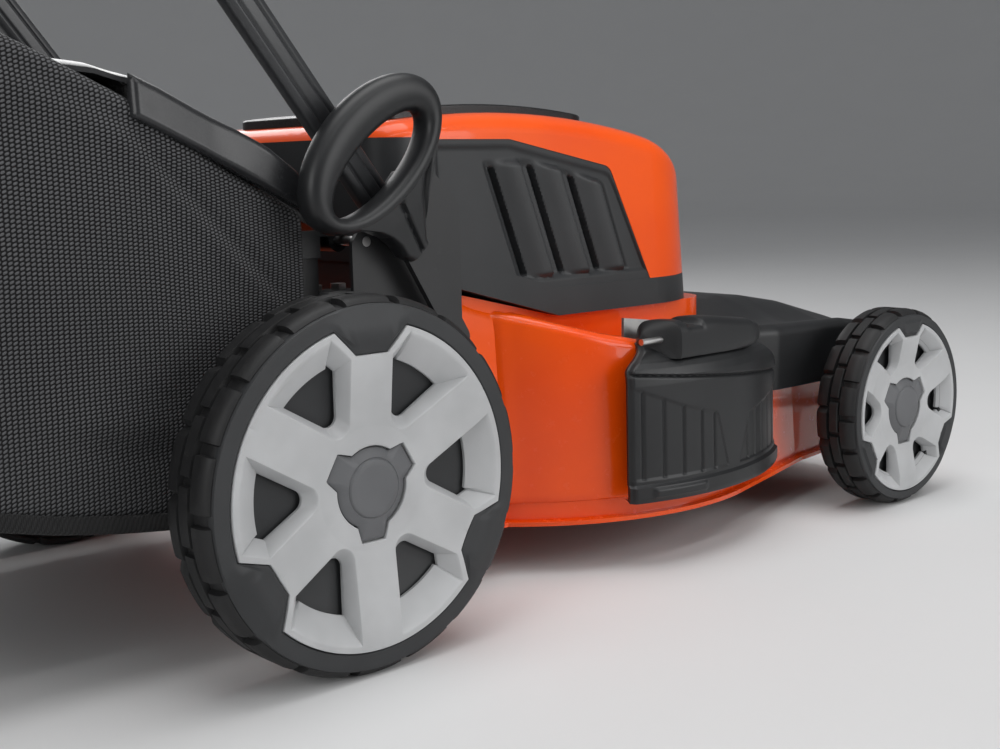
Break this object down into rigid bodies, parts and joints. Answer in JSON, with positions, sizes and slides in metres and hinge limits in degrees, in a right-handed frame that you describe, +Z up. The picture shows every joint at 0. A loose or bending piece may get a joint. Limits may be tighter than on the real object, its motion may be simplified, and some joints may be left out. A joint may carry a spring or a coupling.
{
  "type": "walk-behind lawn mower",
  "caption": "Cordless walk-behind lawn mower: painted deck, louvred battery hood, four wheels on height-adjusting cranks, side flap, folding handle and rear grass bag.",
  "frame": {"origin": "on the ground under the middle of the mower's overall length and width", "axes": "+X forward, the way it is pushed; +Y the mower's left; +Z up"},
  "size_m": [1.505, 0.57, 1.0118],
  "materials": {
    "orange_paint": "gloss",
    "hood_orange": "gloss",
    "grey_plastic": "fine satin grain",
    "black_plastic": "satin",
    "lid_black": "gloss",
    "tyre_rubber": "matte",
    "wheel_grey": "satin",
    "hubcap_grey": "satin",
    "cap_grey": "satin",
    "zinc_steel": "zinc plated",
    "black_steel": "satin powder coat",
    "handle_paint": "satin powder coat",
    "motor_alloy": "cast",
    "bag_cloth": "coarse mesh weave",
    "button_red": "satin"
  },
  "bodies": {
    "chassis": {"deck_shell": "orange_paint", "front_axle_cover": "black_plastic", "hood_base": "grey_plastic", "hood_cover": "hood_orange", "hood_vents": "grey_plastic", "motor_housing": "motor_alloy", "battery_packs": "black_plastic", "handle_bracket_right": "black_steel", "handle_bracket_left": "black_steel", "pivot_bushes": "black_plastic", "flap_hinge_bracket": "zinc_steel", "flap_hinge_pin": "zinc_steel", "flap_spring": "zinc_steel", "rear_flap_rod": "zinc_steel", "fasteners": "zinc_steel", "lower_handle_tubes": "handle_paint"},
    "blade": {"motor_shaft": "zinc_steel", "blade_adaptor": "motor_alloy", "cutting_blade": "black_steel", "blade_bolt": "zinc_steel"},
    "rear_axle": {"rear_axle_crank": "zinc_steel", "rear_wheel_bolts": "zinc_steel", "lever_bar": "black_steel", "lever_grip": "black_plastic"},
    "front_axle": {"front_axle_crank": "zinc_steel", "front_wheel_bolts": "zinc_steel"},
    "link": {"height_link_rod": "zinc_steel"},
    "side_flap": {"side_flap": "black_plastic"},
    "rear_flap": {"rear_flap": "black_plastic"},
    "grass_bag": {"bag_fabric": "bag_cloth", "bag_top": "black_plastic", "bag_mouth_frame": "black_plastic"},
    "battery_lid": {"battery_lid": "lid_black"},
    "upper_handle": {"upper_handle_tube": "handle_paint", "control_panel": "black_plastic"},
    "bail": {"bail": "handle_paint"},
    "start_button": {"start_button": "button_red"},
    "handle_knob_right": {"handle_knob_right": "black_plastic"},
    "handle_knob_left": {"handle_knob_left": "black_plastic"},
    "wheel_rear_right": {"tyre_rear_right": "tyre_rubber", "wheel_rear_right": "wheel_grey", "hubcap_rear_right": "hubcap_grey", "centre_cap_rear_right": "cap_grey", "bearings_rear_right": "zinc_steel"},
    "wheel_rear_left": {"tyre_rear_left": "tyre_rubber", "wheel_rear_left": "wheel_grey", "hubcap_rear_left": "hubcap_grey", "centre_cap_rear_left": "cap_grey", "bearings_rear_left": "zinc_steel"},
    "wheel_front_right": {"tyre_front_right": "tyre_rubber", "wheel_front_right": "wheel_grey", "hubcap_front_right": "hubcap_grey", "centre_cap_front_right": "cap_grey", "bearings_front_right": "zinc_steel"},
    "wheel_front_left": {"tyre_front_left": "tyre_rubber", "wheel_front_left": "wheel_grey", "hubcap_front_left": "hubcap_grey", "centre_cap_front_left": "cap_grey", "bearings_front_left": "zinc_steel"}
  },
  "joints": [
    {"name": "blade_spin", "type": "hinge", "parent": "chassis", "child": "blade", "pos_m": [0.3525, 0, 0], "axis": [0, 0, 1], "continuous": true},
    {"name": "height_adjust", "type": "hinge", "parent": "chassis", "child": "rear_axle", "pos_m": [0.0115, 0, 0.128], "axis": [0, 1, 0], "range_deg": [-13.8, 31.6]},
    {"name": "front_height", "type": "hinge", "parent": "chassis", "child": "front_axle", "pos_m": [0.7215, 0, 0.093], "axis": [0, 1, 0], "range_deg": [-13.8, 31.6]},
    {"name": "link_swing", "type": "hinge", "parent": "rear_axle", "child": "link", "pos_m": [0.0115, 0.208, 0.158], "axis": [0, 1, 0], "range_deg": [-31.6, 13.8]},
    {"name": "side_flap_swing", "type": "hinge", "parent": "chassis", "child": "side_flap", "pos_m": [0.3525, -0.24, 0.209], "axis": [-1, 0, 0], "range_deg": [0, 95], "stiffness_Nm_per_rad": 0.2, "springref_deg": -40.11},
    {"name": "rear_flap_swing", "type": "hinge", "parent": "chassis", "child": "rear_flap", "pos_m": [0.0015, 0, 0.312], "axis": [0, 1, 0], "range_deg": [0, 70]},
    {"name": "bag_slide", "type": "slide", "parent": "chassis", "child": "grass_bag", "axis": [-1, 0, 0], "range_m": [0, 0.45]},
    {"name": "battery_lid_swing", "type": "hinge", "parent": "chassis", "child": "battery_lid", "pos_m": [0.3355, 0, 0.41197], "axis": [0, 1, 0], "range_deg": [0, 75]},
    {"name": "handle_fold", "type": "hinge", "parent": "chassis", "child": "upper_handle", "pos_m": [-0.25302, 0, 0.69025], "axis": [0, 1, 0], "range_deg": [0, 138]},
    {"name": "bail_squeeze", "type": "hinge", "parent": "upper_handle", "child": "bail", "pos_m": [-0.5732, 0, 0.89653], "axis": [0, 1, 0], "range_deg": [0, 12], "stiffness_Nm_per_rad": 3, "springref_deg": -17.19},
    {"name": "start_button_press", "type": "slide", "parent": "upper_handle", "child": "start_button", "axis": [-0.4788, 0, -0.8779], "range_m": [0, 0.004], "stiffness_N_per_m": 900, "springref_m": -0.002},
    {"name": "knob_turn_right", "type": "hinge", "parent": "chassis", "child": "handle_knob_right", "pos_m": [-0.25302, -0.2, 0.69025], "axis": [0, 1, 0], "continuous": true},
    {"name": "knob_turn_left", "type": "hinge", "parent": "chassis", "child": "handle_knob_left", "pos_m": [-0.25302, 0.2, 0.69025], "axis": [0, 1, 0], "continuous": true},
    {"name": "roll_rear_right", "type": "hinge", "parent": "rear_axle", "child": "wheel_rear_right", "pos_m": [-0.0625, -0.255, 0.14], "axis": [0, 1, 0], "continuous": true},
    {"name": "roll_rear_left", "type": "hinge", "parent": "rear_axle", "child": "wheel_rear_left", "pos_m": [-0.0625, 0.255, 0.14], "axis": [0, 1, 0], "continuous": true},
    {"name": "roll_front_right", "type": "hinge", "parent": "front_axle", "child": "wheel_front_right", "pos_m": [0.6475, -0.255, 0.105], "axis": [0, 1, 0], "continuous": true},
    {"name": "roll_front_left", "type": "hinge", "parent": "front_axle", "child": "wheel_front_left", "pos_m": [0.6475, 0.255, 0.105], "axis": [0, 1, 0], "continuous": true}
  ],
  "couplings": [
    {"joint": "front_height", "follows": "height_adjust", "ratio": 1},
    {"joint": "link_swing", "follows": "height_adjust", "ratio": -1}
  ]
}
